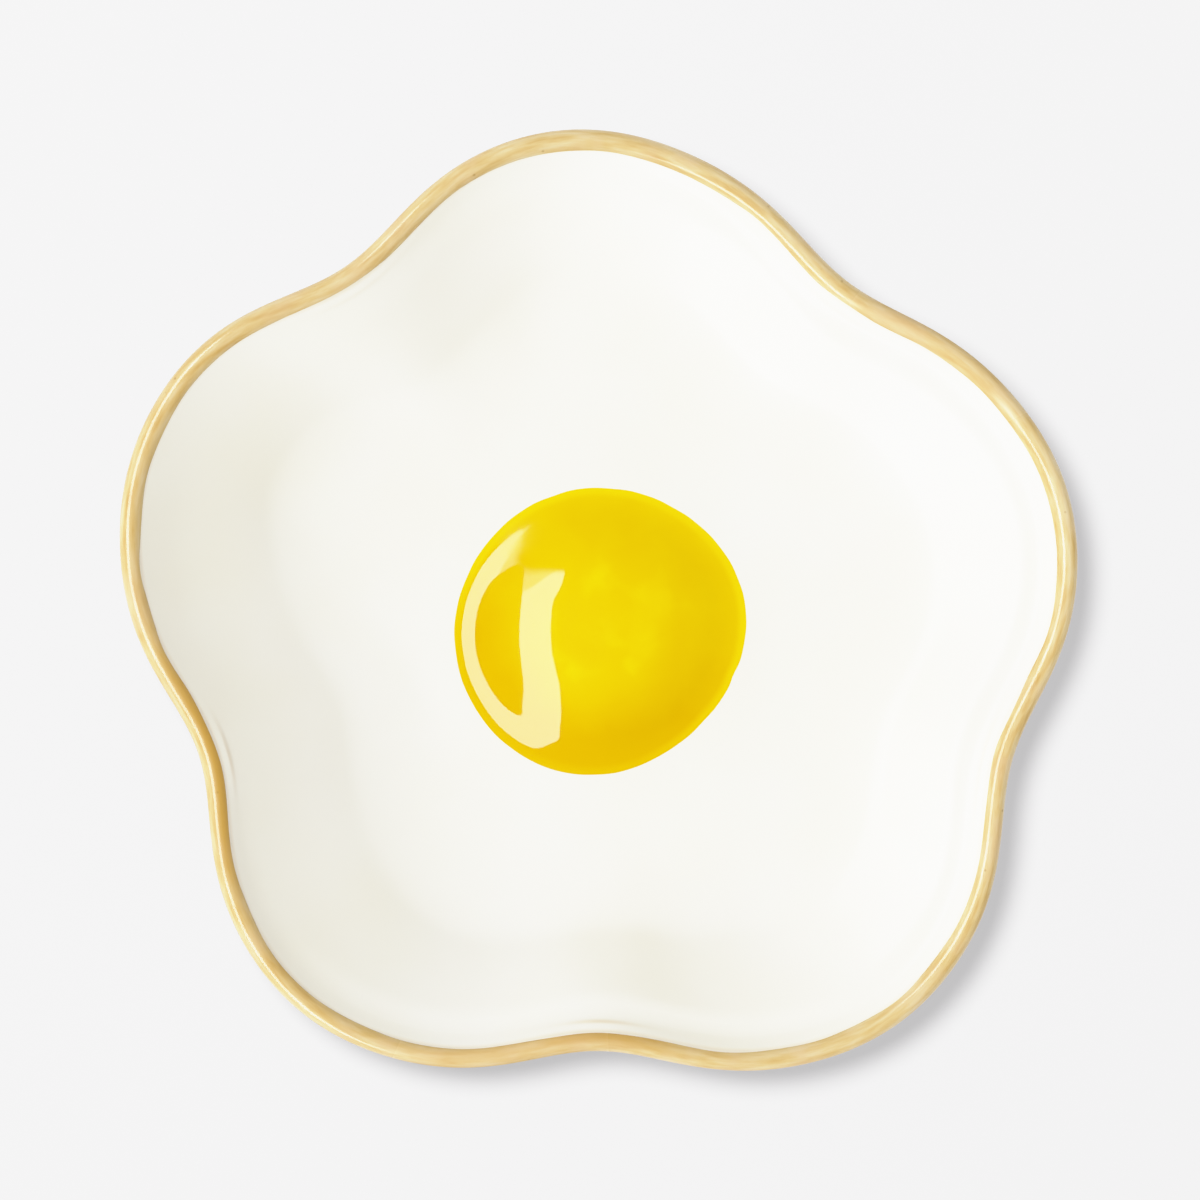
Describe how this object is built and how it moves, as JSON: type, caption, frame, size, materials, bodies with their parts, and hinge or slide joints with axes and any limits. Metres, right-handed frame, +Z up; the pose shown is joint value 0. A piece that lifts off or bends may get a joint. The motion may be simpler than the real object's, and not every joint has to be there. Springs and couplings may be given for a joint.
{
  "type": "fried egg shaped plate",
  "caption": "Glazed ceramic plate in the shape of a fried egg: wavy lobed outline, rounded tan rim, sloping white wall, flat floor, raised yellow yolk and a foot ring to stand on.",
  "frame": {"origin": "centre of the plate's bounding box, on the plane that the foot ring stands on", "axes": "+Z up out of the dish, +X along its longest width, and one lobe points along +Y"},
  "size_m": [0.18, 0.1768, 0.022],
  "materials": {
    "white_glaze": "thick glossy warm white glaze over the wall, the floor and the outside",
    "rim_glaze": "glossy tan glaze brushed round the rim, lighter and darker in streaks; a zone of the one plate node",
    "yolk_glaze": "thick very glossy egg yellow glaze on the raised yolk; a zone of the one plate node",
    "bare_clay": "unglazed matt pale clay on the underside of the foot ring; a zone of the one plate node"
  },
  "bodies": {
    "root": {"plate": "white_glaze"}
  },
  "joints": []
}
